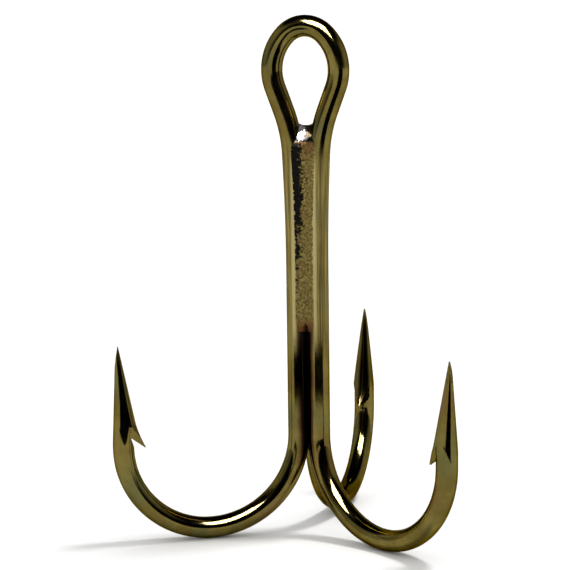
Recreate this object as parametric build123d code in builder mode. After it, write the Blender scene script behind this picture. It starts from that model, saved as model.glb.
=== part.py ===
"""Treble hook: a double hook bent from one wire, a single hook laid against it, and the braze between them.

The origin is the centre of the eye. +Z runs up the shanks, towards the eye. +Y runs through the eye's hole,
towards the side where the single hook lies. The two shanks of the double hook lie in the plane Y = 0.
"""

import os
from math import acos, cos, degrees, radians, sin, sqrt, tan

from build123d import *

# Wire and bundle, in millimetres.
wire_diameter = 2.0
wire_gap = 0.06  # capillary gap that the braze runs into
hook_count = 3
right_heading = -30  # degrees from +X; the left hook mirrors it
rear_heading = 90

# Heights above and below the eye's centre.
foot_z = -43.7  # underside of the bends
single_top_z = -5.4  # cut end of the single hook's shank
cut_end_chamfer = 0.2

# Bend and leg.
heel_radius = 8.6  # shank side of the bend, at the wire's centre
toe_radius = 8.05  # point side of the bend, at the wire's centre
leg_length = 9.6  # straight leg, from the bend to the tip

# Eye, at the wire's centre.
eye_half_width = 3.23
eye_side_radius = 4.6
eye_crown_radius = 2.63
throat_radius = 12.8
throat_angle = 20.8  # degrees that the eye's straight sides lean from the shank
parting_radius = 203.0  # long gentle bow in which the two shanks begin to part
parting_angle = 3.0

# Ground point. Depths are measured down from the tip, offsets outwards from the leg's axis.
tip_offset = 0.3
tip_half_width = 0.06
inner_lean = 11.5  # degrees from the leg to the inner side of the point
outer_lean = 2.7  # degrees from the leg to the back of the point
ground_length = 9.2  # the back of the point meets the round wire here
bevel_length = 2.0  # final steepening of the back
flat_bulge = 0.13  # how far the side flats belly out between the tip and the leg's foot
flat_foot_half_width = 1.02  # just outside the wire, where the flats run out

# Barb: a sliver cut from the inner side of the leg and lifted.
barb_root_depth = 7.3
cone_end_depth = 7.5  # the cone's own inner side ends here, under the barb
barb_tip_depth = 9.6
barb_apex_depth = 9.8  # where the V's two sides would meet, just past the barb's tip
barb_lift = 10.0  # degrees that the barb is lifted away from the side of the point
notch_depth = 8.6
notch_offset = -0.64

# Braze. Each bead is named with its turn about the bundle's axis from the front, and the height of its top.
beads = {"front_braze_seam": (0, -4.7), "right_braze_seam": (120, -6.0), "left_braze_seam": (-120, -6.0)}
seam_low_z = -24.3
seam_face = 0.88  # the bead's face lies this far out from the plane through its two wires' centres
seam_ramp_height = 1.4
seam_ramp_depth = 0.7
pad_dip = 0.4  # sag of the bead's top between the wires
bead_half_width = 1.4  # ends inside the wires
core_low_z = -33.0
core_top_z = -5.7

# Worked out from the above.
wire_radius = wire_diameter / 2
pitch = wire_diameter + wire_gap
bundle_radius = pitch / sqrt(3)  # from the bundle's axis to each shank's axis
bundle_y = bundle_radius / 2
heel_z = foot_z + wire_radius + heel_radius
leg_x = heel_radius + toe_radius
leg_z = foot_z + wire_radius + toe_radius
tip_z = leg_z + leg_length
crown_drop = sqrt((eye_side_radius - eye_crown_radius) ** 2 - (eye_side_radius - eye_half_width) ** 2)
crown_z = crown_drop + eye_crown_radius


def on_leg(offset, depth):
    """A point of the leg's side view, from its offset outwards and its depth below the tip."""
    return (leg_x + offset, tip_z - depth)


def heading_point(heading, distance, z):
    """A point at a distance from the bundle's axis, along a hook's heading."""
    angle = radians(heading)
    return (distance * cos(angle), bundle_y + distance * sin(angle), z)


# ---------------------------------------------------------------- one bend with its barbed point
# Drawn in the XZ plane with the shank's axis on Z and the point towards +X.

with BuildPart() as bend:
    with BuildLine(Plane.XZ) as bend_line:
        heel = JernArc((0, heel_z), (0, -1), heel_radius, 90)
        JernArc(heel @ 1, heel % 1, toe_radius, 90)
    with BuildSketch(Plane.XY.offset(heel_z)):
        Circle(wire_radius)
    sweep(path=bend_line.line)

# The point is a cone that leans inwards. Below the barb's root it only trims the back of the round wire.
cone_half_angle = (inner_lean + outer_lean) / 2
cone_tilt = (inner_lean - outer_lean) / 2
back_offset_at_tip = wire_radius - ground_length * tan(radians(outer_lean))
slopes = tan(radians(inner_lean)) + tan(radians(outer_lean))
apex_rise = (back_offset_at_tip - tip_offset) / slopes
apex_x = leg_x + tip_offset + apex_rise * tan(radians(inner_lean))
cone_length = (leg_length + apex_rise + wire_diameter) / cos(radians(cone_tilt))
cone_base_radius = cone_length * tan(radians(cone_half_angle))
bevel_offset = back_offset_at_tip + bevel_length * tan(radians(outer_lean))

with BuildPart() as ground_cone:
    with Locations(Location((apex_x, 0, tip_z + apex_rise), (0, cone_tilt, 0))):
        Cone(cone_base_radius, 0, cone_length, align=(Align.CENTER, Align.CENTER, Align.MAX))

with BuildPart() as point:
    add(ground_cone)
    split(bisect_by=Plane.XY.offset(leg_z), keep=Keep.TOP)
    # Below the cone's end, whatever stands outside the wire goes.
    with BuildSketch(Plane.XY.offset(leg_z)):
        with Locations((leg_x, 0)):
            Rectangle(4 * wire_diameter, 4 * wire_diameter)
            Circle(wire_radius, mode=Mode.SUBTRACT)
    extrude(amount=leg_length - cone_end_depth, mode=Mode.SUBTRACT)
    # The back steepens towards the tip, and below the barb a shallow notch is left in the leg.
    with BuildSketch(Plane.XZ):
        with BuildLine():
            Polyline(
                on_leg(tip_offset + tip_half_width, 0),
                on_leg(bevel_offset, bevel_length),
                on_leg(wire_diameter, bevel_length),
                on_leg(wire_diameter, -apex_rise),
                on_leg(tip_offset + tip_half_width, -apex_rise),
                close=True,
            )
        make_face()
        with BuildLine():
            Polyline(
                on_leg(notch_offset, notch_depth),
                on_leg(notch_offset, cone_end_depth),
                on_leg(-wire_diameter, cone_end_depth),
                on_leg(-wire_diameter, leg_length),
                on_leg(-wire_radius, leg_length),
                close=True,
            )
        make_face()
    extrude(amount=wire_diameter, both=True, mode=Mode.SUBTRACT)

# The barb is the inner side of the cone carried on past its root, but lifted: wedge-shaped from the side and
# V-shaped from the front.
root_offset = tip_offset - barb_root_depth * tan(radians(inner_lean))
overlap_depth = barb_root_depth - wire_radius
barb_fall = barb_tip_depth - barb_root_depth
barb_tip_offset = root_offset - barb_fall * tan(radians(inner_lean + barb_lift))
root_x, root_z = on_leg(root_offset, barb_root_depth)
lifted_cone = ground_cone.part.rotate(Axis((root_x, 0, root_z), (0, 1, 0)), barb_lift)

with BuildPart() as barb:
    add(lifted_cone)
    with BuildSketch(Plane.XZ):
        with BuildLine():
            Polyline(
                on_leg(barb_tip_offset, barb_tip_depth),
                on_leg(notch_offset, notch_depth),
                on_leg(notch_offset, overlap_depth),
                on_leg(barb_tip_offset, overlap_depth),
                close=True,
            )
        make_face()
    extrude(amount=wire_diameter, both=True, mode=Mode.INTERSECT)
    with BuildSketch(Plane.YZ.offset(leg_x)):
        with BuildLine():
            Polyline(
                (-flat_foot_half_width, tip_z - overlap_depth),
                (-flat_foot_half_width, tip_z - barb_root_depth),
                (0, tip_z - barb_apex_depth),
                (flat_foot_half_width, tip_z - barb_root_depth),
                (flat_foot_half_width, tip_z - overlap_depth),
                close=True,
            )
        make_face()
    extrude(amount=2 * wire_diameter, both=True, mode=Mode.INTERSECT)

with BuildPart() as flattened_point:
    add(point)
    add(barb)
    # Side flats, bellied like an ogive, run out just above the leg's foot.
    with BuildSketch(Plane.YZ.offset(leg_x)):
        with BuildLine():
            left_edge = Line((-flat_foot_half_width, leg_z), (-flat_foot_half_width, leg_z - wire_diameter))
            foot = Line(left_edge @ 1, (flat_foot_half_width, leg_z - wire_diameter))
            right_edge = Line(foot @ 1, (flat_foot_half_width, leg_z))
            SagittaArc(right_edge @ 1, (tip_half_width, tip_z), flat_bulge)
            Line((tip_half_width, tip_z), (-tip_half_width, tip_z))
            SagittaArc((-tip_half_width, tip_z), left_edge @ 0, flat_bulge)
        make_face()
    extrude(amount=2 * wire_diameter, both=True, mode=Mode.INTERSECT)

with BuildPart() as barbed_bend:
    add(bend)
    add(flattened_point)

# ---------------------------------------------------------------- single hook

with BuildPart() as single_hook:
    with Locations(heading_point(rear_heading, bundle_radius, 0)):
        add(barbed_bend.part, rotation=(0, 0, rear_heading))
    with BuildSketch(Plane(origin=heading_point(rear_heading, bundle_radius, heel_z))):
        Circle(wire_radius)
    extrude(amount=single_top_z - heel_z)
    chamfer(single_hook.edges().filter_by(GeomType.CIRCLE).sort_by(Axis.Z)[-1], cut_end_chamfer)
single_hook.part.label = "single_hook"

# ---------------------------------------------------------------- double hook
# Half of the eye runs from its crown down the side, in through the throat and down the shank.

crown_turn = 90 - degrees(acos((eye_side_radius - eye_half_width) / (eye_side_radius - eye_crown_radius)))
side_inset = eye_side_radius * (1 - cos(radians(throat_angle)))
throat_inset = throat_radius * (cos(radians(parting_angle)) - cos(radians(throat_angle)))
parting_inset = parting_radius * (1 - cos(radians(parting_angle)))
straight_inset = eye_half_width - side_inset - throat_inset - parting_inset - pitch / 2
straight_length = straight_inset / sin(radians(throat_angle))

with BuildPart() as half_eye:
    with BuildLine(Plane.XZ) as half_line:
        crown = JernArc((0, crown_z), (1, 0), eye_crown_radius, -crown_turn)
        side = JernArc(crown @ 1, crown % 1, eye_side_radius, crown_turn - 90 - throat_angle)
        straight = Line(side @ 1, side @ 1 + side % 1 * straight_length)
        throat = JernArc(straight @ 1, straight % 1, throat_radius, throat_angle - parting_angle)
        parting = JernArc(throat @ 1, throat % 1, parting_radius, parting_angle)
        Line(parting @ 1, Vector(pitch / 2, 0, heel_z))
    with BuildSketch(Plane.YZ):
        with Locations((0, crown_z)):
            Circle(wire_radius)
    sweep(path=half_line.line)

with BuildPart() as double_hook:
    add(half_eye)
    with Locations(heading_point(right_heading, bundle_radius, 0)):
        add(barbed_bend.part, rotation=(0, 0, right_heading))
    mirror(about=Plane.YZ)
double_hook.part.label = "double_hook"

# ---------------------------------------------------------------- braze
# Each outer bead fills the groove between two shanks, and the core fills the channel between all three.


def bead_blank(top_z):
    """The front bead before the wires are taken out of it: a bar whose top sags and whose foot is ramped."""
    with BuildPart() as blank:
        with BuildSketch(Plane.XZ):
            with BuildLine():
                left_side = Line((-bead_half_width, top_z), (-bead_half_width, seam_low_z))
                foot = Line(left_side @ 1, (bead_half_width, seam_low_z))
                right_side = Line(foot @ 1, (bead_half_width, top_z))
                SagittaArc(right_side @ 1, left_side @ 0, pad_dip)
            make_face()
        extrude(amount=seam_face)
        with BuildSketch(Plane.YZ):
            with BuildLine():
                Polyline(
                    (-seam_face, seam_low_z + seam_ramp_height),
                    (-seam_face, seam_low_z),
                    (seam_ramp_depth - seam_face, seam_low_z),
                    close=True,
                )
            make_face()
        extrude(amount=bead_half_width, both=True, mode=Mode.SUBTRACT)
    return blank.part


bundle_axis = Axis((0, bundle_y, 0), (0, 0, 1))
bead_parts = []
for name, (turn, top_z) in beads.items():
    turned_blank = bead_blank(top_z).rotate(bundle_axis, turn)
    with BuildPart() as bead:
        add(turned_blank)
        add(double_hook.part, mode=Mode.SUBTRACT)
        add(single_hook.part, mode=Mode.SUBTRACT)
    bead.part.label = name
    bead_parts.append(bead.part)

with BuildPart() as core_braze:
    with BuildSketch(Plane.XY.offset(core_low_z)):
        with Locations((0, bundle_y)):
            RegularPolygon(bundle_radius, hook_count, rotation=rear_heading)
    extrude(amount=core_top_z - core_low_z)
    add(double_hook.part, mode=Mode.SUBTRACT)
    add(single_hook.part, mode=Mode.SUBTRACT)
core_braze.part.label = "core_braze"

os.makedirs("parts", exist_ok=True)
for piece in (double_hook.part, single_hook.part, core_braze.part, *bead_parts):
    export_step(piece, f"parts/{piece.label}.step")
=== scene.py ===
from math import acos, asin, atan2, cos, degrees, pi, radians, sin, sqrt, tan

import bmesh
import bpy
from mathutils import Matrix, Vector, noise


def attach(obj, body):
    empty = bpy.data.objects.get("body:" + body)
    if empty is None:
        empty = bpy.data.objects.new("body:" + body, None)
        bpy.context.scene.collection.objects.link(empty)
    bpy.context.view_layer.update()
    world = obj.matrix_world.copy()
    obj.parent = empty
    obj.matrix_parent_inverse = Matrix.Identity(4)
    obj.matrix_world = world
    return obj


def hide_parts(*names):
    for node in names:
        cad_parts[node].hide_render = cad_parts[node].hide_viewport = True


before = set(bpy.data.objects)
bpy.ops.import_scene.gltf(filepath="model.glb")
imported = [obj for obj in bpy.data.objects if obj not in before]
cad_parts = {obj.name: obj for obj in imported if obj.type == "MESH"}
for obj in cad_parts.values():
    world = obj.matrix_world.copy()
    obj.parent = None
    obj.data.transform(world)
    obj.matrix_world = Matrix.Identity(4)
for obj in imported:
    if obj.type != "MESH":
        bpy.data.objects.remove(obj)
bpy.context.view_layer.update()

# ---------------------------------------------------------------- dimensions, in millimetres
MM = 0.001
WIRE_RADIUS = 1.0
PITCH = 2.06
BUNDLE_RADIUS = PITCH / sqrt(3)
BUNDLE_Y = BUNDLE_RADIUS / 2
SHANK_X = PITCH / 2
RIGHT_HEADING = -30
REAR_HEADING = 90

FOOT_Z = -43.7
HEEL_RADIUS = 8.6
TOE_RADIUS = 8.05
LEG_LENGTH = 9.6
HEEL_Z = FOOT_Z + WIRE_RADIUS + HEEL_RADIUS
LEG_X = HEEL_RADIUS + TOE_RADIUS
LEG_Z = FOOT_Z + WIRE_RADIUS + TOE_RADIUS
TIP_Z = LEG_Z + LEG_LENGTH
SINGLE_TOP_Z = -5.4
CUT_CHAMFER = 0.2

EYE_HALF_WIDTH = 3.23
EYE_SIDE_RADIUS = 4.6
EYE_CROWN_RADIUS = 2.63
THROAT_RADIUS = 12.8
THROAT_ANGLE = 20.8
PARTING_RADIUS = 203.0
PARTING_ANGLE = 3.0

# Ground point, by depth below the tip and offset outwards from the leg's axis.
TIP_OFFSET = 0.3
TIP_HALF_WIDTH = 0.06
TIP_ROUNDING = 0.05
INNER_SLOPE = tan(radians(11.5))
BACK_SLOPE = tan(radians(2.7))
GROUND_LENGTH = 9.2
BEVEL_LENGTH = 2.0
FLAT_BULGE = 0.13
FLAT_FOOT_HALF_WIDTH = 1.02
ROOT_DEPTH = 7.3
CROTCH_DEPTH = 8.6
CROTCH_OFFSET = -0.64
BARB_TIP_DEPTH = 9.6
BARB_APEX_DEPTH = 9.8
BARB_SLOPE = tan(radians(15))
BARB_FLARE = 0.055
BARB_TIP_THICKNESS = 0.16

# A ring has this many vertices. Its corners are counted from its outer side to its inner side.
RING = 96
HALF = RING // 2
BACK_RIDGE = 17
INNER_RIDGE = 31
FLOOR_CORNER = 33
FLAKE_FOOT = 35
FLAKE_EDGE = 39

# A rounded end is closed by rings drawn in to these shares of their size.
ROUNDING_SHARES = (0.35, 0.7, 0.92)
WIRE_CREASE = 40


# ---------------------------------------------------------------- mesh building
class Shell:
    """Points, faces and each point's place on the straightened wire or bead, before they are a mesh."""

    def __init__(self):
        self.points = []
        self.straight = []
        self.faces = []

    def add(self, places, straight):
        """Adds a row of points and returns their indices."""
        start = len(self.points)
        self.points += places
        self.straight += straight
        return list(range(start, len(self.points)))

    def bridge(self, first, second):
        """Quads between two closed rows of the same length."""
        count = len(first)
        for i in range(count):
            j = (i + 1) % count
            self.faces.append((first[i], first[j], second[j], second[i]))

    def stack(self, rows):
        """A closed tube through the rows, with both of its ends filled."""
        self.faces.append(tuple(rows[0]))
        for first, second in zip(rows, rows[1:]):
            self.bridge(first, second)
        self.faces.append(tuple(reversed(rows[-1])))

    def mirrored(self):
        """The same shell on the other side of the plane X = 0."""
        other = Shell()
        other.points = [Vector((-p.x, p.y, p.z)) for p in self.points]
        other.straight = [Vector((p.x, p.y, -p.z)) for p in self.straight]
        other.faces = [tuple(reversed(face)) for face in self.faces]
        return other

    def join(self, other):
        """Adds another shell's points and faces."""
        start = len(self.points)
        self.points += other.points
        self.straight += other.straight
        self.faces += [tuple(i + start for i in face) for face in other.faces]


def mesh_object(name, shell, crease_angle):
    """A smooth-shaded object from a shell, with edges kept crisp where they turn more than crease_angle."""
    mesh = bpy.data.meshes.new(name)
    mesh.from_pydata([p * MM for p in shell.points], [], shell.faces)
    place = mesh.attributes.new("straight", "FLOAT_VECTOR", "POINT")
    place.data.foreach_set("vector", [x for p in shell.straight for x in p])
    mesh.validate()
    piece = bpy.data.objects.new(name, mesh)
    bpy.context.scene.collection.objects.link(piece)
    weld(mesh)
    mesh.shade_smooth()
    mesh.set_sharp_from_angle(angle=radians(crease_angle))
    return piece


def weld(mesh):
    """Joins points that lie in one place and turns every face outwards."""
    work = bmesh.new()
    work.from_mesh(mesh)
    bmesh.ops.remove_doubles(work, verts=work.verts, dist=1e-7)
    bmesh.ops.recalc_face_normals(work, faces=work.faces)
    work.to_mesh(mesh)
    work.free()


def steps(start, end, step):
    """Evenly spaced values from start to end, with both ends, no further apart than step."""
    count = max(1, round(abs(end - start) / step + 0.49))
    return [start + (end - start) * i / count for i in range(count + 1)]


def mix(a, b, share):
    """The value that lies this share of the way from a to b."""
    return a + (b - a) * share


def smooth(share):
    """A share from 0 to 1, eased at both ends and held inside them."""
    share = min(1, max(0, share))
    return share * share * (3 - 2 * share)


# ---------------------------------------------------------------- section of the ground point
def back_offset(depth):
    """The outer side of the leg before its last bevel."""
    return WIRE_RADIUS - max(0, GROUND_LENGTH - depth) * BACK_SLOPE


def bevel_offset(depth):
    """The short bevel that steepens the back towards the tip."""
    at_tip = TIP_OFFSET + TIP_HALF_WIDTH
    at_end = back_offset(BEVEL_LENGTH)
    return mix(at_tip, at_end, depth / BEVEL_LENGTH)


def inner_offset(depth):
    """The inner side of the point."""
    return TIP_OFFSET - depth * INNER_SLOPE


def flat_half_width(depth):
    """Half the distance between the side flats, which belly out between the tip and the leg's foot."""
    share = min(1, depth / LEG_LENGTH)
    return mix(TIP_HALF_WIDTH, FLAT_FOOT_HALF_WIDTH, share) + FLAT_BULGE * 4 * share * (1 - share)


def floor_offset(depth):
    """The shallow notch that the barb leaves in the leg."""
    share = max(0, depth - CROTCH_DEPTH) / (LEG_LENGTH - CROTCH_DEPTH)
    return mix(CROTCH_OFFSET, -WIRE_RADIUS, min(1, share))


def flake_half_width(depth):
    """Half the width of the barb, a V seen from the front."""
    v_width = FLAT_FOOT_HALF_WIDTH * (BARB_APEX_DEPTH - depth) / (BARB_APEX_DEPTH - ROOT_DEPTH)
    return min(v_width, flat_half_width(depth) - 0.004)


def flake_outer(depth):
    """The barb's outer side, which curves away from the leg."""
    fall = depth - ROOT_DEPTH
    return inner_offset(ROOT_DEPTH) - fall * BARB_SLOPE - BARB_FLARE * fall * fall


def flake_under(depth):
    """The barb's underside, from the crotch to its tip."""
    share = (depth - CROTCH_DEPTH) / (BARB_TIP_DEPTH - CROTCH_DEPTH)
    return mix(CROTCH_OFFSET, flake_outer(BARB_TIP_DEPTH) + BARB_TIP_THICKNESS, share)


def spread_angles(corners):
    """Angles for each vertex of half a ring, evenly spread between the given (vertex, angle) corners."""
    angles = []
    for (first, low), (last, high) in zip(corners, corners[1:]):
        angles += [mix(low, high, i / (last - first)) for i in range(last - first)]
    return angles + [corners[-1][1]]


def ground_circle(depth):
    """Centre and radius of the circle between the ground back and the inner side."""
    back = back_offset(depth)
    inner = inner_offset(depth)
    return (back + inner) / 2, (back - inner) / 2


def ground_half(depth):
    """Half the outline above the barb's root: a circle from the back to the inner side, cut by flats."""
    centre, radius = ground_circle(depth)
    width = flat_half_width(depth)
    ridge = asin(width / radius)
    near_ridge = mix(8 / 17, 0.02, smooth(depth / ROOT_DEPTH))
    corners = [
        (0, 0),
        (BACK_RIDGE, ridge),
        (INNER_RIDGE, pi - ridge),
        (FLAKE_EDGE, pi - ridge * (1 - near_ridge)),
        (HALF, pi),
    ]
    outline = []
    for angle in spread_angles(corners):
        offset = centre + radius * cos(angle)
        if depth < BEVEL_LENGTH:
            offset = min(offset, bevel_offset(depth))
        outline.append((offset, min(radius * sin(angle), width)))
    return outline


def leg_corners(depth, foot_half_width):
    """The corners of the leg's outline below the barb's root."""
    ridge = asin(min(flat_half_width(depth), 0.995))
    foot = pi - asin(foot_half_width)
    floor = min(acos(CROTCH_OFFSET), mix(pi - ridge, foot, 0.9))
    ridges = [(BACK_RIDGE, ridge), (INNER_RIDGE, pi - ridge)]
    return [(0, 0), *ridges, (FLOOR_CORNER, floor), (FLAKE_FOOT, foot)]


def leg_point(angle, depth):
    """A point of the leg's round outline, held back by the flats, the ground back and the notch."""
    across = min(sin(angle), flat_half_width(depth))
    centre, radius = ground_circle(depth)
    ground_back = centre + sqrt(radius * radius - across * across)
    offset = max(min(cos(angle), ground_back), floor_offset(depth))
    return (offset, across)


def flaked_half(depth):
    """Half the outline between the barb's root and its crotch, where leg and barb are still one."""
    half_width = flake_half_width(depth)
    outline = [leg_point(a, depth) for a in spread_angles(leg_corners(depth, half_width))]
    return outline[:-1] + flake_half(depth, outline[-1][0])


def flake_half(depth, foot_offset):
    """Half of the barb's own outline, from its foot round to the middle of its outer side."""
    half_width = flake_half_width(depth)
    outer = flake_outer(depth)
    radius = (back_offset(ROOT_DEPTH) - inner_offset(ROOT_DEPTH)) / 2
    turn = asin(half_width / radius)
    edge = outer + radius * (1 - cos(turn))
    side = steps(foot_offset, edge, abs(foot_offset - edge) / (FLAKE_EDGE - FLAKE_FOOT) * 1.01)
    outline = [(offset, half_width) for offset in side[:-1]]
    for i in range(HALF - FLAKE_EDGE + 1):
        angle = turn * (1 - i / (HALF - FLAKE_EDGE))
        outline.append((outer + radius * (1 - cos(angle)), radius * sin(angle)))
    return outline


def notched_half(depth):
    """Half of the leg's outline below the crotch, which turns into the evenly divided round wire."""
    corners = leg_corners(CROTCH_DEPTH, flake_half_width(CROTCH_DEPTH)) + [(HALF, pi)]
    share = smooth((depth - CROTCH_DEPTH) / 3)
    angles = [mix(a, pi * i / HALF, share) for i, a in enumerate(spread_angles(corners))]
    return [leg_point(angle, depth) for angle in angles]


def whole(half):
    """A closed outline from its half with v above zero."""
    return half + [(u, -v) for u, v in reversed(half[1:-1])]


# ---------------------------------------------------------------- course of the wire
class Frame:
    """A place along the wire: its centre and the two directions that its ring is drawn in."""

    def __init__(self, centre, outward, side):
        self.centre = centre
        self.outward = outward
        self.side = side

    def at(self, u, v):
        return self.centre + self.outward * u + self.side * v


TOE_LENGTH = TOE_RADIUS * pi / 2
HEEL_LENGTH = HEEL_RADIUS * pi / 2
BEND_END = LEG_LENGTH + TOE_LENGTH + HEEL_LENGTH


def bend_station(distance):
    """Offset from the shank, height and outward direction at a distance from the tip."""
    if distance <= LEG_LENGTH:
        return LEG_X, TIP_Z - distance, (1, 0)
    if distance <= LEG_LENGTH + TOE_LENGTH:
        turn = (distance - LEG_LENGTH) / TOE_RADIUS
        out = (cos(turn), -sin(turn))
        return HEEL_RADIUS + TOE_RADIUS * out[0], LEG_Z + TOE_RADIUS * out[1], out
    if distance <= BEND_END:
        turn = (distance - LEG_LENGTH - TOE_LENGTH) / HEEL_RADIUS
        out = (-sin(turn), -cos(turn))
        return HEEL_RADIUS * (1 + out[0]), HEEL_Z + HEEL_RADIUS * out[1], out
    return 0, HEEL_Z + distance - BEND_END, (-1, 0)


def bend_frame(shank, heading, distance):
    """The frame of a hook's leg, bend or shank at a distance from its tip."""
    ahead = Vector((cos(radians(heading)), sin(radians(heading)), 0))
    side = Vector((-ahead.y, ahead.x, 0))
    offset, height, out = bend_station(distance)
    centre = shank + ahead * offset + Vector((0, 0, height))
    return Frame(centre, ahead * out[0] + Vector((0, 0, out[1])), side)


def eye_frames():
    """Frames and distances from the parting of the shanks up to the middle of the eye's crown."""
    crown_turn = 90 - degrees(
        acos((EYE_SIDE_RADIUS - EYE_HALF_WIDTH) / (EYE_SIDE_RADIUS - EYE_CROWN_RADIUS))
    )
    crown_rise = sqrt((EYE_SIDE_RADIUS - EYE_CROWN_RADIUS) ** 2 - (EYE_SIDE_RADIUS - EYE_HALF_WIDTH) ** 2)
    insets = EYE_SIDE_RADIUS * (1 - cos(radians(THROAT_ANGLE)))
    insets += THROAT_RADIUS * (cos(radians(PARTING_ANGLE)) - cos(radians(THROAT_ANGLE)))
    insets += PARTING_RADIUS * (1 - cos(radians(PARTING_ANGLE)))
    straight = (EYE_HALF_WIDTH - insets - SHANK_X) / sin(radians(THROAT_ANGLE))
    course = [(0, EYE_CROWN_RADIUS + crown_rise, 0, 0)]
    arc(course, EYE_CROWN_RADIUS, -crown_turn, 16)
    arc(course, EYE_SIDE_RADIUS, crown_turn - 90 - THROAT_ANGLE, 26)
    run(course, straight, 6)
    arc(course, THROAT_RADIUS, THROAT_ANGLE - PARTING_ANGLE, 18)
    arc(course, PARTING_RADIUS, PARTING_ANGLE, 14)
    frames = []
    for x, z, heading, distance in reversed(course):
        travel = (-cos(heading), -sin(heading))
        inward = Vector((-travel[1], 0, travel[0]))
        frames.append((Frame(Vector((x, 0, z)), inward, Vector((0, 1, 0))), distance))
    return frames


def arc(course, radius, turn, count):
    """Adds stations (x, z, heading, distance) along an arc; a positive turn goes left."""
    x, z, heading, distance = course[-1]
    sign = 1 if turn > 0 else -1
    centre = (x - sign * radius * sin(heading), z + sign * radius * cos(heading))
    for i in range(1, count + 1):
        now = heading + radians(turn) * i / count
        x = centre[0] + sign * radius * sin(now)
        z = centre[1] - sign * radius * cos(now)
        course.append((x, z, now, distance + radius * abs(radians(turn)) * i / count))


def run(course, length, count):
    """Adds stations along a straight run."""
    x, z, heading, distance = course[-1]
    for i in range(1, count + 1):
        gone = length * i / count
        course.append((x + gone * cos(heading), z + gone * sin(heading), heading, distance + gone))


EYE_COURSE = [here.centre for here, _ in eye_frames()]


# ---------------------------------------------------------------- barbed hook
def ring_at(shell, frame_here, outline, distance, untwisted=None):
    """Adds one ring of the wire. A ring that is rolled also gives its outline before the roll."""
    places = [frame_here.at(u, v) for u, v in outline]
    straight = [Vector((u, v, distance)) for u, v in untwisted or outline]
    return shell.add(places, straight)


def shrunk(outline, share):
    """An outline drawn in towards its middle."""
    middle_u = sum(u for u, v in outline) / len(outline)
    return [(mix(middle_u, u, share), v * share) for u, v in outline]


def barbed_hook(shell, shank, heading, shank_depths):
    """Adds the point, barb, bend and shank of one hook, and returns its last ring."""

    def here(depth):
        return bend_frame(shank, heading, depth)

    # The tip is rounded over.
    last = None
    for share in ROUNDING_SHARES:
        depth = TIP_ROUNDING * (1 - sqrt(1 - share * share))
        ring = ring_at(shell, here(depth), shrunk(whole(ground_half(TIP_ROUNDING)), share), depth)
        if last is None:
            shell.faces.append(tuple(ring))
        else:
            shell.bridge(last, ring)
        last = ring
    depths = steps(TIP_ROUNDING, 2.2, 0.09) + steps(2.2, ROOT_DEPTH, 0.2)[1:]
    for depth in depths:
        ring = ring_at(shell, here(depth), whole(ground_half(depth)), depth)
        shell.bridge(last, ring)
        last = ring
    for depth in steps(ROOT_DEPTH, CROTCH_DEPTH, 0.1)[1:]:
        ring = ring_at(shell, here(depth), whole(flaked_half(depth)), depth)
        shell.bridge(last, ring)
        last = ring
    leg_ring = free_barb(shell, here, last)
    for depth in steps(CROTCH_DEPTH, LEG_LENGTH, 0.1)[1:] + shank_depths:
        ring = ring_at(shell, here(depth), whole(notched_half(depth)), depth)
        shell.bridge(leg_ring, ring)
        leg_ring = ring
    return leg_ring


def free_barb(shell, here, ring):
    """Adds the barb below its crotch, and returns the leg's own ring at the crotch."""
    foot = FLAKE_FOOT
    outer = ring[foot:RING - foot + 1]
    inner_outline = whole(notched_half(CROTCH_DEPTH))[foot + 1:RING - foot]
    crotch = ring_at(shell, here(CROTCH_DEPTH), inner_outline, CROTCH_DEPTH)
    leg_ring = ring[:foot + 1] + crotch + ring[RING - foot:]
    last = outer + list(reversed(crotch))
    for depth in steps(CROTCH_DEPTH, BARB_TIP_DEPTH, 0.08)[1:]:
        loop = ring_at(shell, here(depth), flake_outline(depth), depth)
        shell.bridge(last, loop)
        last = loop
    rounding = BARB_TIP_THICKNESS / 2
    for share in reversed(ROUNDING_SHARES):
        depth = BARB_TIP_DEPTH + rounding * sqrt(1 - share * share)
        loop = ring_at(shell, here(depth), shrunk(flake_outline(BARB_TIP_DEPTH), share), depth)
        shell.bridge(last, loop)
        last = loop
    shell.faces.append(tuple(reversed(last)))
    return leg_ring


def flake_outline(depth):
    """The closed outline of the free barb: round its outer side, and back along its underside."""
    under = flake_under(depth)
    half = flake_half(depth, under)
    outer = half + [(u, -v) for u, v in reversed(half[:-1])]
    half_width = flake_half_width(depth)
    crotch_width = flake_half_width(CROTCH_DEPTH)
    inner = whole(notched_half(CROTCH_DEPTH))[FLAKE_FOOT + 1:RING - FLAKE_FOOT]
    underside = [(under, v / crotch_width * half_width) for u, v in reversed(inner)]
    return outer + underside


TOE_END = LEG_LENGTH + TOE_LENGTH
BEND_DEPTHS = steps(LEG_LENGTH, TOE_END, 0.34)[1:] + steps(TOE_END, BEND_END, 0.36)[1:]


def round_outline(roll):
    """The round wire's outline, turned about its axis by an angle in degrees."""
    return [
        (cos(2 * pi * i / RING + radians(roll)), sin(2 * pi * i / RING + radians(roll)))
        for i in range(RING)
    ]


def double_hook():
    """One wire: two barbed hooks and the eye between them."""
    shell = Shell()
    eye = eye_frames()
    parting_z = eye[0][0].centre.z
    shank_depths = steps(BEND_END, BEND_END + parting_z - HEEL_Z, 1.0)[1:-1]
    shank = Vector((SHANK_X, 0, 0))
    last = barbed_hook(shell, shank, RIGHT_HEADING, BEND_DEPTHS + shank_depths)
    total = BEND_END + parting_z - HEEL_Z + eye[0][1]
    outline = round_outline(-RIGHT_HEADING)
    for frame_here, distance in eye:
        ring = ring_at(shell, frame_here, outline, total - distance, round_outline(0))
        shell.bridge(last, ring)
        last = ring
    for place in shell.straight:
        place.z = total - place.z
    shell.join(shell.mirrored())
    return mesh_object("double_hook_wire", shell, WIRE_CREASE)


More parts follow.
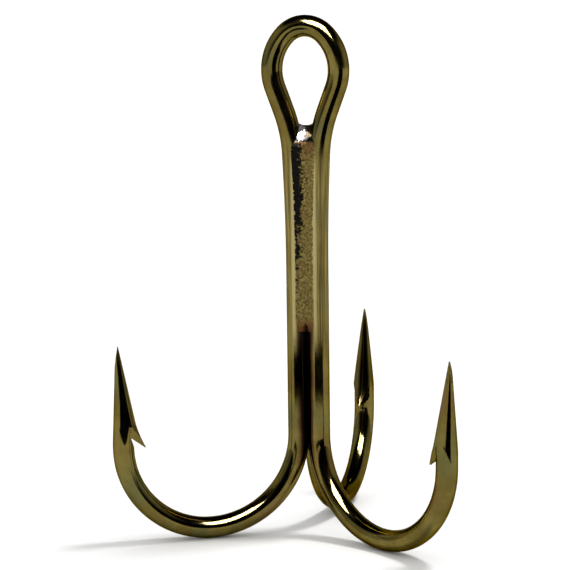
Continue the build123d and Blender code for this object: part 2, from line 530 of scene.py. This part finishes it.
def single_hook():
    """The other wire: one barbed hook whose shank ends in a plain cut."""
    shell = Shell()
    shank_end = BEND_END + SINGLE_TOP_Z - HEEL_Z
    shank_depths = steps(BEND_END, shank_end - CUT_CHAMFER, 1.0)[1:]
    shank = Vector((0, BUNDLE_Y + BUNDLE_RADIUS, 0))
    last = barbed_hook(shell, shank, REAR_HEADING, BEND_DEPTHS + shank_depths)
    here = bend_frame(shank, REAR_HEADING, shank_end)
    for radius in (WIRE_RADIUS - CUT_CHAMFER, WIRE_RADIUS * 0.55, WIRE_RADIUS * 0.25):
        ring = ring_at(shell, here, [(u * radius, v * radius) for u, v in round_outline(0)], shank_end)
        shell.bridge(last, ring)
        last = ring
    shell.faces.append(tuple(reversed(last)))
    return mesh_object("single_hook_wire", shell, WIRE_CREASE)


# ---------------------------------------------------------------- braze
BRAZE_FOOT_Z = -24.3
PAD_RIM_Z = -5.1
PAD_FOOT_Z = -6.9
REAR_TOP_Z = -6.35
CORE_LOW_Z = -33.0
CORE_TOP_Z = -5.7
CORE_DOME = 0.2
FACE_COLUMNS = 44
SIDE_ROWS = 8  # down each of a bead's hidden sides
BEAD_STEP = 0.085
BEAD_DEPTH = 0.45  # of the hidden part, below the lowest point of the face
EDGE_TUCK = 0.012  # how far a bead's edge runs into the wire
EDGE_INSET = 0.16  # from the plane of the wire's axis to the bead's edge
FACE_DIP = 0.075
FACE_GRAIN = 0.022
COARSE_GRAIN = 0.34
FINE_GRAIN = 0.13
FOOT_RAMP = 0.95
FOOT_DRAW = 0.85
PAD_DROP = 1.08
PAD_HOLLOW = 0.08
RIM_LIFT = 0.22
BRAZE_CREASE = 50


def shank_half_gap(z):
    """How far the front shanks' axes lie from the plane X = 0, which grows as they part below the eye."""
    low = EYE_COURSE[0]
    for high in EYE_COURSE:
        if high.z > z:
            break
        low = high
    if high is low:
        return low.x
    share = (z - low.z) / (high.z - low.z)
    return mix(low.x, high.x, min(1, max(0, share)))


def shank_axes(z):
    """The three shanks' axes at a height, seen from above."""
    gap = shank_half_gap(z)
    return Vector((-gap, 0)), Vector((gap, 0)), Vector((0, BUNDLE_Y + BUNDLE_RADIUS))


class Groove:
    """The groove between two shanks at a height, with the third shank behind it."""

    def __init__(self, z, order):
        axes = shank_axes(z)
        first, second, behind = (axes[i] for i in order)
        self.z = z
        self.middle = (first + second) / 2
        self.half = (second - first).length / 2
        self.across = (second - first).normalized()
        self.out = Vector((self.across.y, -self.across.x))
        if self.out.dot(behind - self.middle) > 0:
            self.out = -self.out

    def at(self, across, level, z):
        place = self.middle + self.across * across + self.out * level
        return Vector((place.x, place.y, z))

    def wall(self, level):
        """The distance from the groove's middle to the wire at a level, a little inside the wire."""
        level = min(max(level, -0.97), 0.97)
        return self.half - sqrt((WIRE_RADIUS - EDGE_TUCK) ** 2 - level * level * 0.98)


def grain(place, size):
    """Uneven grain between -1 and 1."""
    return noise.noise(place / size, noise_basis="PERLIN_ORIGINAL")


def bead_level(share, z, top):
    """How far out the bead's face lies, at a share from one edge (-1) to the other (1)."""
    edge = sqrt(WIRE_RADIUS ** 2 - EDGE_INSET ** 2)
    level = edge - FACE_DIP * (1 - share * share) - foot_dip(share, z)
    if top == PAD_RIM_Z:
        return level - pad_dip(share, z)
    return level - 0.8 * smooth((z - top + 0.7) / 0.75) ** 2


def foot_dip(share, z):
    """The bead's foot draws back into the groove, first in the middle and then along the wires."""
    foot = BRAZE_FOOT_Z + 1.25 - 0.9 * share * share
    draw = FOOT_DRAW * (1 - sqrt(1 - smooth((foot - z) / FOOT_RAMP) ** 2 * 0.98))
    return draw + 0.05 * smooth((foot + 1 - z) / 2)


def pad_dip(share, z):
    """The hollow pad under the eye, which leans back from the face to a thin rim."""
    start = PAD_FOOT_Z + 0.25 * share
    climb = max(0, (z - start) / (PAD_RIM_Z - start))
    hollow = PAD_HOLLOW * sin(pi * min(1, climb)) ** 2 * (1 - share * share)
    return PAD_DROP * smooth(climb * 0.86) + hollow


def bead_face(groove, order, top):
    """A row of points across the bead's grainy face."""
    z = groove.z
    width = groove.half - EDGE_INSET
    face = []
    for i in range(FACE_COLUMNS + 1):
        share = 2 * i / FACE_COLUMNS - 1
        level = bead_level(share, z, top)
        limit = groove.wall(level) if level < 0.97 else width
        across = share * min(width, max(limit, 0.04))
        height = z
        if top == PAD_RIM_Z:
            height += RIM_LIFT * share * share * smooth((z - top + 1.2) / 1.2)
        place = Vector((across + order[0] * 7, level, height))
        rough = grain(place, COARSE_GRAIN) + 0.8 * grain(place, FINE_GRAIN)
        level += FACE_GRAIN * rough * smooth((1 - abs(share)) * 9)
        face.append((across, level, height))
    return face


def bead_sides(groove, face):
    """The hidden part of a row: down one wire's side of the groove, and back up the other's."""
    low = min(level for _, level, _ in face) - BEAD_DEPTH
    right = []
    for i in range(1, SIDE_ROWS + 1):
        level = mix(face[-1][1], low, i / SIDE_ROWS)
        right.append((max(0.03, groove.wall(level)), level, groove.z))
    return right + [(-across, level, z) for across, level, z in reversed(right)]


def bead(name, order, top):
    """A bead of braze with a grainy face, drawn up into the groove between two shanks."""
    shell = Shell()
    rows = []
    for z in steps(BRAZE_FOOT_Z, top, BEAD_STEP):
        groove = Groove(z, order)
        face = bead_face(groove, order, top)
        outline = face + bead_sides(groove, face)
        places = [groove.at(*place) for place in outline]
        rows.append(shell.add(places, [Vector(place) for place in outline]))
    shell.stack(rows)
    return mesh_object(name, shell, BRAZE_CREASE)


def core(name):
    """The braze in the three-cornered channel between the shanks, with a low dome at each end."""
    shell = Shell()
    dome = [(share, CORE_DOME * (1 - sqrt(1 - share * share))) for share in ROUNDING_SHARES + (1,)]
    low_rows = [(share, CORE_LOW_Z + drop) for share, drop in dome]
    high_rows = [(share, CORE_TOP_Z - drop) for share, drop in reversed(dome)]
    middle_rows = [(1, z) for z in steps(low_rows[-1][1], high_rows[0][1], 0.8)[1:-1]]
    middle = Vector((0, BUNDLE_Y))
    rows = []
    for share, z in low_rows + middle_rows + high_rows:
        outline = [middle + (point - middle) * share for point in channel_outline(z, middle)]
        places = [Vector((point.x, point.y, z)) for point in outline]
        rows.append(shell.add(places, [Vector((1, 0, z)) for _ in outline]))
    shell.stack(rows)
    return mesh_object(name, shell, BRAZE_CREASE)


def channel_outline(z, middle):
    """The section of the channel: an arc of each shank's surface, one after another."""
    outline = []
    for axis in shank_axes(z):
        inwards = middle - axis
        facing = atan2(inwards.y, inwards.x)
        for turn in range(30, -31, -6):
            angle = facing + radians(turn)
            outline.append(axis + Vector((cos(angle), sin(angle))) * (WIRE_RADIUS - EDGE_TUCK))
    return outline


# ---------------------------------------------------------------- materials
DARK_GOLD = (0.118, 0.088, 0.021, 1)
PALE_GOLD = (0.178, 0.142, 0.038, 1)
RED_TINT = (0.15, 0.085, 0.035, 1)
GREEN_TINT = (0.095, 0.115, 0.05, 1)
DARK_STREAK = (0.105, 0.075, 0.018, 1)
PALE_STREAK = (0.33, 0.26, 0.068, 1)
# Painted highlight: the pale strip along the front of the heated shanks.
FRONT_HIGHLIGHT_PAINT = (0.40, 0.335, 0.125, 1)
# Painted shade in the groove between the front shanks: brown at its edges, black inside.
GROOVE_SHADE_BROWN = (0.07, 0.03, 0.012, 1)
GROOVE_SHADE_BLACK = (0.008, 0.005, 0.003, 1)
DARK_GRAIN = (0.075, 0.054, 0.013, 1)
PALE_GRAIN = (0.235, 0.185, 0.048, 1)
BROWN_PATCH = (0.12, 0.07, 0.022, 1)
BURNT = (0.10, 0.042, 0.012, 1)
# Painted dark reflection: black along one side of each bead and around the pad's painted highlight.
BEAD_REFLECTION_BLACK = (0.006, 0.005, 0.003, 1)
# Painted highlight: the glint on the pad under the eye.
PAD_GLINT_PAINT = (0.7, 0.66, 0.55, 1)


class Nodes:
    """Adds and links the nodes of one material or world."""

    def __init__(self, owner):
        owner.use_nodes = True
        self.tree = owner.node_tree
        self.shader = self.tree.nodes.get("Principled BSDF")

    def add(self, kind, links=(), **settings):
        """A new node with its settings, and links given as (input, value or output socket)."""
        node = self.tree.nodes.new(kind)
        for name, value in settings.items():
            setattr(node, name, value)
        for name, value in links:
            self.set(node.inputs[name], value)
        return node

    def set(self, socket, value):
        """Links an output to a socket, or gives the socket a value of its own."""
        if isinstance(value, bpy.types.NodeSocket):
            self.tree.links.new(value, socket)
        else:
            socket.default_value = value

    def math(self, operation, *values):
        """The result of a sum on numbers or sockets."""
        node = self.add("ShaderNodeMath", operation=operation)
        for i, value in enumerate(values):
            self.set(node.inputs[i], value)
        return node.outputs[0]

    def times(self, first, second):
        return self.math("MULTIPLY", first, second)

    def plus(self, first, second):
        return self.math("ADD", first, second)

    def about_zero(self, value, scale):
        """A noise value from 0 to 1 turned into one on both sides of 0, and scaled."""
        return self.times(self.math("SUBTRACT", value, 0.5), scale)

    def ramp(self, value, low, high, to_low=0.0, to_high=1.0):
        """A smooth change from to_low to to_high as value goes from low to high."""
        links = [("Value", value), ("From Min", low), ("From Max", high)]
        links += [("To Min", to_low), ("To Max", to_high)]
        node = self.add("ShaderNodeMapRange", links, interpolation_type="SMOOTHSTEP")
        return node.outputs["Result"]

    def mixed(self, share, first, second):
        """A colour between two colours."""
        node = self.add("ShaderNodeMix", data_type="RGBA")
        self.set(node.inputs["Factor"], share)
        self.set(node.inputs[6], first)
        self.set(node.inputs[7], second)
        return node.outputs[2]

    def noise(self, place, scale, detail=3.0, roughness=0.5):
        links = [("Vector", place), ("Scale", scale), ("Detail", detail), ("Roughness", roughness)]
        return self.add("ShaderNodeTexNoise", links).outputs["Fac"]

    def object_place(self):
        """A point's place in the object's frame, in metres."""
        return self.add("ShaderNodeTexCoord").outputs["Object"]

    def straight_place(self):
        """A point's place on the straightened wire or bead, in millimetres."""
        return self.add("ShaderNodeAttribute", attribute_name="straight").outputs["Vector"]

    def split(self, vector):
        """The X, Y and Z of a vector."""
        return self.add("ShaderNodeSeparateXYZ", [("Vector", vector)]).outputs

    def stretched(self, vector, scale):
        """A vector scaled along each of its axes."""
        return self.add("ShaderNodeMapping", [("Vector", vector), ("Scale", scale)]).outputs["Vector"]

    def bump(self, height, strength, distance):
        """Gives the shader a fine relief, with distance in metres."""
        links = [("Height", height), ("Strength", strength), ("Distance", distance)]
        self.set(self.shader.inputs["Normal"], self.add("ShaderNodeBump", links).outputs["Normal"])


def metal():
    """Bronze-plated wire: dark and mirror-bright, but matt and streaky where the brazing heated it."""
    material = bpy.data.materials.new("bronze_plating")
    nodes = Nodes(material)
    shader = nodes.shader
    place = nodes.object_place()
    height = nodes.times(nodes.split(place)["Z"], 1000)
    straight = nodes.straight_place()
    heated = nodes.times(nodes.ramp(height, -28.0, -23.0), nodes.ramp(height, -9.5, -5.5, 1.0, 0.0))
    streak = nodes.noise(nodes.stretched(straight, (7, 7, 0.1)), 1.0, 3, 0.6)
    patch = nodes.noise(place, 420, 4, 0.6)
    streaked = nodes.mixed(nodes.ramp(streak, 0.42, 0.62), DARK_STREAK, PALE_STREAK)
    colour = nodes.mixed(nodes.times(heated, 0.65), tinted_gold(nodes, place, patch), streaked)
    # Painted highlight: a pale strip along the front of the heated shanks.
    colour = painted_front_highlight(nodes, place, heated, streak, colour)
    # Painted shade: brown, then black, darkening into the groove between the front shanks.
    colour = groove_painted_shade(nodes, place, height, patch, colour)
    nodes.set(shader.inputs["Base Color"], colour)
    nodes.set(shader.inputs["Metallic"], nodes.ramp(heated, 0.0, 1.0, 1.0, 0.76))
    shader.inputs["Specular Tint"].default_value = (0.35, 0.31, 0.22, 1)
    rough = nodes.plus(nodes.ramp(heated, 0.0, 1.0, 0.06, 0.4), nodes.ramp(patch, 0.3, 0.7, 0.0, 0.05))
    rough = nodes.plus(rough, nodes.ramp(height, -9.0, -3.0, 0.0, 0.02))
    nodes.set(shader.inputs["Roughness"], rough)
    drawing_lines = nodes.noise(nodes.stretched(straight, (26, 26, 0.35)), 1.0, 2, 0.5)
    grains = nodes.times(nodes.noise(place, 5200, 2, 0.6), nodes.ramp(heated, 0.0, 1.0, 0.06, 0.3))
    relief = nodes.plus(nodes.times(drawing_lines, 0.6), grains)
    nodes.bump(relief, nodes.ramp(heated, 0.0, 1.0, 0.07, 0.3), 0.00006)
    return material


def tinted_gold(nodes, place, patch):
    """The plating's own colour, in patches, with faint red and green tints."""
    gold = nodes.mixed(nodes.ramp(patch, 0.35, 0.68), DARK_GOLD, PALE_GOLD)
    tint = nodes.noise(place, 190, 2, 0.5)
    reddish = nodes.mixed(nodes.ramp(tint, 0.5, 0.75, 0.0, 0.5), gold, RED_TINT)
    return nodes.mixed(nodes.ramp(tint, 0.5, 0.28, 0.0, 0.5), reddish, GREEN_TINT)


def painted_front_highlight(nodes, place, heated, streak, colour):
    """Painted highlight: a paler strip along the front of each heated shank, standing in for a reflection
    of the light.
    """
    parts = nodes.split(place)
    aside = nodes.math("ABSOLUTE", nodes.times(parts["X"], 1000))
    aside = nodes.plus(aside, nodes.about_zero(streak, 0.3))
    strip = nodes.ramp(nodes.math("ABSOLUTE", nodes.math("SUBTRACT", aside, 1.02)), 0.3, 0.06)
    front = nodes.ramp(parts["Y"], -0.0006, -0.0009)
    return nodes.mixed(nodes.times(nodes.times(strip, front), heated), colour, FRONT_HIGHLIGHT_PAINT)


def groove_painted_shade(nodes, place, height, patch, colour):
    """Painted shade in the groove between the front shanks, brown at its edges and black inside."""
    parts = nodes.split(place)
    aside = nodes.math("ABSOLUTE", nodes.times(parts["X"], 1000))
    uneven = nodes.plus(aside, nodes.about_zero(patch, 0.35))
    length = nodes.times(nodes.ramp(height, -41.0, -33.0), nodes.ramp(height, -20.0, -24.0))
    reach = nodes.times(length, nodes.ramp(parts["Y"], 0.0009, 0.0003))
    brown = nodes.times(nodes.ramp(uneven, 0.95, 0.55), reach)
    black = nodes.times(nodes.ramp(uneven, 0.66, 0.42), reach)
    return nodes.mixed(black, nodes.mixed(brown, colour, GROOVE_SHADE_BROWN), GROOVE_SHADE_BLACK)


def braze():
    """Filler metal: dull, grainy gold-brown, with black painted along one side as a dark reflection, and a
    highlight painted on the pad under the eye.
    """
    material = bpy.data.materials.new("braze_filler")
    nodes = Nodes(material)
    shader = nodes.shader
    place = nodes.object_place()
    parts = nodes.split(nodes.straight_place())
    height = parts["Z"]
    grains = nodes.noise(place, 4200, 3, 0.65)
    coarse = nodes.noise(place, 1300, 4, 0.7)
    ragged = nodes.plus(parts["X"], nodes.about_zero(grains, 1.9))
    ragged = nodes.plus(ragged, nodes.about_zero(coarse, 2.6))
    pad = nodes.ramp(height, -6.75, -6.4)
    # Painted dark reflection along one side of each bead, and a painted highlight on the pad under the eye.
    painted_black, painted_glint = painted_black_and_glint(nodes, height, ragged, pad)
    gold = nodes.mixed(nodes.ramp(grains, 0.36, 0.64), DARK_GRAIN, PALE_GRAIN)
    gold = nodes.mixed(nodes.ramp(coarse, 0.4, 0.62, 0.0, 0.45), gold, BROWN_PATCH)
    foot = nodes.ramp(height, -22.6, -24.2)
    burnt = nodes.math("MAXIMUM", foot, nodes.ramp(height, -8.4, -6.8, 0.0, 0.55))
    # Painted dark reflection: black over one side of each bead and around the pad's highlight.
    colour = nodes.mixed(painted_black, nodes.mixed(burnt, gold, BURNT), BEAD_REFLECTION_BLACK)
    # Painted highlight: the glint on the pad under the eye.
    nodes.set(shader.inputs["Base Color"], nodes.mixed(painted_glint, colour, PAD_GLINT_PAINT))
    shader.inputs["Metallic"].default_value = 0.75
    shader.inputs["Specular IOR Level"].default_value = 0.2
    shader.inputs["Specular Tint"].default_value = (0.5, 0.45, 0.35, 1)
    nodes.set(shader.inputs["Roughness"], nodes.ramp(pad, 0.0, 1.0, 0.42, 0.27))
    nodes.bump(grains, 0.5, 0.00008)
    return material


def painted_black_and_glint(nodes, height, ragged, pad):
    """Where a bead is painted black as a dark reflection, and where a highlight is painted on the pad under
    the eye, with painted black around it.
    """
    border = nodes.ramp(height, -24.0, -9.0, -0.85, -0.12)
    edge = nodes.math("SUBTRACT", ragged, border)
    # Painted dark reflection: black from the bead's left edge to a ragged border.
    painted_black = nodes.times(nodes.ramp(edge, -0.12, 0.12, 1.0, 0.0), nodes.ramp(height, -23.5, -18.0))
    # Painted highlight on the pad under the eye, with a painted dark reflection around it.
    glint_distance = nodes.math("ABSOLUTE", nodes.plus(nodes.times(ragged, 0.8), 0.02))
    glint_distance = nodes.plus(glint_distance, nodes.math("ABSOLUTE", nodes.plus(height, 6.0)))
    painted_glint = nodes.times(pad, nodes.ramp(glint_distance, 0.62, 0.42))
    dark_around_glint = nodes.times(pad, nodes.ramp(glint_distance, 0.42, 0.62))
    painted_black = nodes.math("MAXIMUM", nodes.times(painted_black, nodes.math("SUBTRACT", 1.0, pad)), dark_around_glint)
    return painted_black, painted_glint


# ---------------------------------------------------------------- studio
CAMERA_AZIMUTH = radians(18.55)
CAMERA_ELEVATION = radians(8.125)
CAMERA_ROLL = radians(0.75)
CAMERA_DISTANCE = 200
CAMERA_TARGET = Vector((-2.17, -0.13, -20.05))

# Level directions as the camera sees them.
RIGHT = Vector((cos(CAMERA_AZIMUTH), sin(CAMERA_AZIMUTH), 0))
TOWARD = Vector((sin(CAMERA_AZIMUTH), -cos(CAMERA_AZIMUTH), 0))
UP = Vector((0, 0, 1))

AMBIENT = 0.86
BACKDROP = 1.5
WALLS = 0.6
SOFTBOX_RISE = radians(55)
SOFTBOX_DISTANCE = 300
SOFTBOX_HALF_WIDTH = 120
SOFTBOX_HALF_HEIGHT = 80
DARK_NEAR = 62
DARK_FAR_LEFT = 130
DARK_FAR_RIGHT = 20000
FLOOR_HALF_SIDE = 30000


def camera():
    """The camera at the photograph's angle and distance."""
    back = TOWARD * cos(CAMERA_ELEVATION) + UP * sin(CAMERA_ELEVATION)
    level_up = back.cross(RIGHT)
    right = RIGHT * cos(CAMERA_ROLL) - level_up * sin(CAMERA_ROLL)
    up = RIGHT * sin(CAMERA_ROLL) + level_up * cos(CAMERA_ROLL)
    data = bpy.data.cameras.new("camera")
    data.sensor_width = 36
    data.lens = 134.94
    data.clip_start = 0.01
    data.clip_end = 10
    item = bpy.data.objects.new("camera", data)
    bpy.context.scene.collection.objects.link(item)
    turn = Matrix((right, up, back)).transposed().to_4x4()
    item.matrix_world = Matrix.Translation((CAMERA_TARGET + back * CAMERA_DISTANCE) * MM) @ turn
    bpy.context.scene.camera = item


def studio_world():
    """White to the camera, soft light to matt surfaces, and to polished ones walls with a dark front."""
    world = bpy.data.worlds.new("studio")
    bpy.context.scene.world = world
    nodes = Nodes(world)
    path = nodes.add("ShaderNodeLightPath")
    direction = nodes.add("ShaderNodeTexCoord").outputs["Generated"]
    away = nodes.add("ShaderNodeVectorMath", operation="DOT_PRODUCT")
    nodes.set(away.inputs[0], direction)
    nodes.set(away.inputs[1], -TOWARD)
    behind = nodes.ramp(away.outputs["Value"], -0.75, -0.1)
    low = nodes.ramp(nodes.split(direction)["Z"], 0.45, 0.68, 1.0, 0.0)
    walls = nodes.times(nodes.times(behind, low), WALLS)
    colour = nodes.mixed(path.outputs["Is Glossy Ray"], (AMBIENT, AMBIENT, AMBIENT, 1), walls)
    colour = nodes.mixed(path.outputs["Is Camera Ray"], colour, (BACKDROP, BACKDROP, BACKDROP, 1))
    nodes.set(nodes.tree.nodes["Background"].inputs["Color"], colour)


def flat_piece(name, corners):
    """A staged object of one flat face, with its corners in millimetres, and its material's nodes."""
    mesh = bpy.data.meshes.new(name)
    mesh.from_pydata([corner * MM for corner in corners], [], [tuple(range(len(corners)))])
    item = bpy.data.objects.new(name, mesh)
    bpy.context.scene.collection.objects.link(item)
    material = bpy.data.materials.new(name)
    mesh.materials.append(material)
    return item, Nodes(material)


def rectangle(centre, across, up):
    """Corners of a rectangle whose half sides are the vectors across and up."""
    return [centre - across - up, centre + across - up, centre + across + up, centre - across + up]


def studio_floor():
    """A large pale matt floor under the hooks' feet."""
    centre = UP * (FOOT_Z - 0.01)
    half_sides = (Vector((FLOOR_HALF_SIDE, 0, 0)), Vector((0, FLOOR_HALF_SIDE, 0)))
    _, nodes = flat_piece("floor", rectangle(centre, *half_sides))
    nodes.shader.inputs["Base Color"].default_value = (0.85, 0.85, 0.85, 1)
    nodes.shader.inputs["Roughness"].default_value = 0.9
    nodes.shader.inputs["Specular IOR Level"].default_value = 0


def card(name, corners, colour, brightness):
    """A flat card that only polished surfaces see."""
    item, nodes = flat_piece(name, corners)
    nodes.tree.nodes.remove(nodes.shader)
    emission = nodes.add("ShaderNodeEmission", [("Color", colour), ("Strength", brightness)])
    nodes.set(nodes.tree.nodes["Material Output"].inputs["Surface"], emission.outputs[0])
    item.visible_camera = False
    item.visible_diffuse = False
    item.visible_shadow = False
    item.visible_transmission = False
    item.visible_volume_scatter = False


def softbox():
    """The softbox in front and overhead."""
    aim = TOWARD * cos(SOFTBOX_RISE) + UP * sin(SOFTBOX_RISE)
    tilt = (UP * cos(SOFTBOX_RISE) - TOWARD * sin(SOFTBOX_RISE)) * SOFTBOX_HALF_HEIGHT
    centre = Vector((0, 0, -30)) + aim * SOFTBOX_DISTANCE - RIGHT * 15
    card("softbox", rectangle(centre, RIGHT * SOFTBOX_HALF_WIDTH, tilt), (0.82, 0.84, 1.25, 1), 40)


def dark_floor():
    """The dark part of the table in front, which reaches further to the right."""
    above_floor = UP * (FOOT_Z + 0.5)
    near = [(DARK_NEAR, turn) for turn in range(-45, 46, 5)]
    far = [(DARK_FAR_LEFT if turn < 0 else DARK_FAR_RIGHT, turn) for turn in range(45, -46, -5)]
    rim = []
    for reach, turn in near + far:
        heading = TOWARD * cos(radians(turn)) + RIGHT * sin(radians(turn))
        rim.append(above_floor + heading * reach)
    card("dark_floor", rim, (0, 0, 0, 1), 0)


def key_light():
    """A broad light from the right, high up and a little behind, which only matt surfaces see."""
    data = bpy.data.lights.new("key", "SUN")
    data.energy = 1.6
    data.angle = radians(12)
    item = bpy.data.objects.new("key", data)
    bpy.context.scene.collection.objects.link(item)
    direction = RIGHT * 18 - TOWARD * 6 + UP * 49
    item.rotation_mode = "QUATERNION"
    item.rotation_quaternion = direction.to_track_quat("Z", "Y")
    item.visible_glossy = False


# ---------------------------------------------------------------- the treble hook
filler = braze()
bead_grooves = (
    ("front_braze_seam", (0, 1, 2), PAD_RIM_Z),
    ("right_braze_seam", (1, 2, 0), REAR_TOP_Z),
    ("left_braze_seam", (2, 0, 1), REAR_TOP_Z),
)
fills = [(node, bead(node + "_metal", order, top)) for node, order, top in bead_grooves]
fills.append(("core_braze", core("core_braze_metal")))
for node, piece in fills:
    piece.data.materials.append(filler)
    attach(piece, "root")
    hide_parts(node)

plating = metal()
for node, piece in (("double_hook", double_hook()), ("single_hook", single_hook())):
    piece.data.materials.append(plating)
    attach(piece, "root")
    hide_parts(node)

camera()
studio_world()
studio_floor()
softbox()
dark_floor()
key_light()
bpy.context.scene.view_settings.view_transform = "Standard"
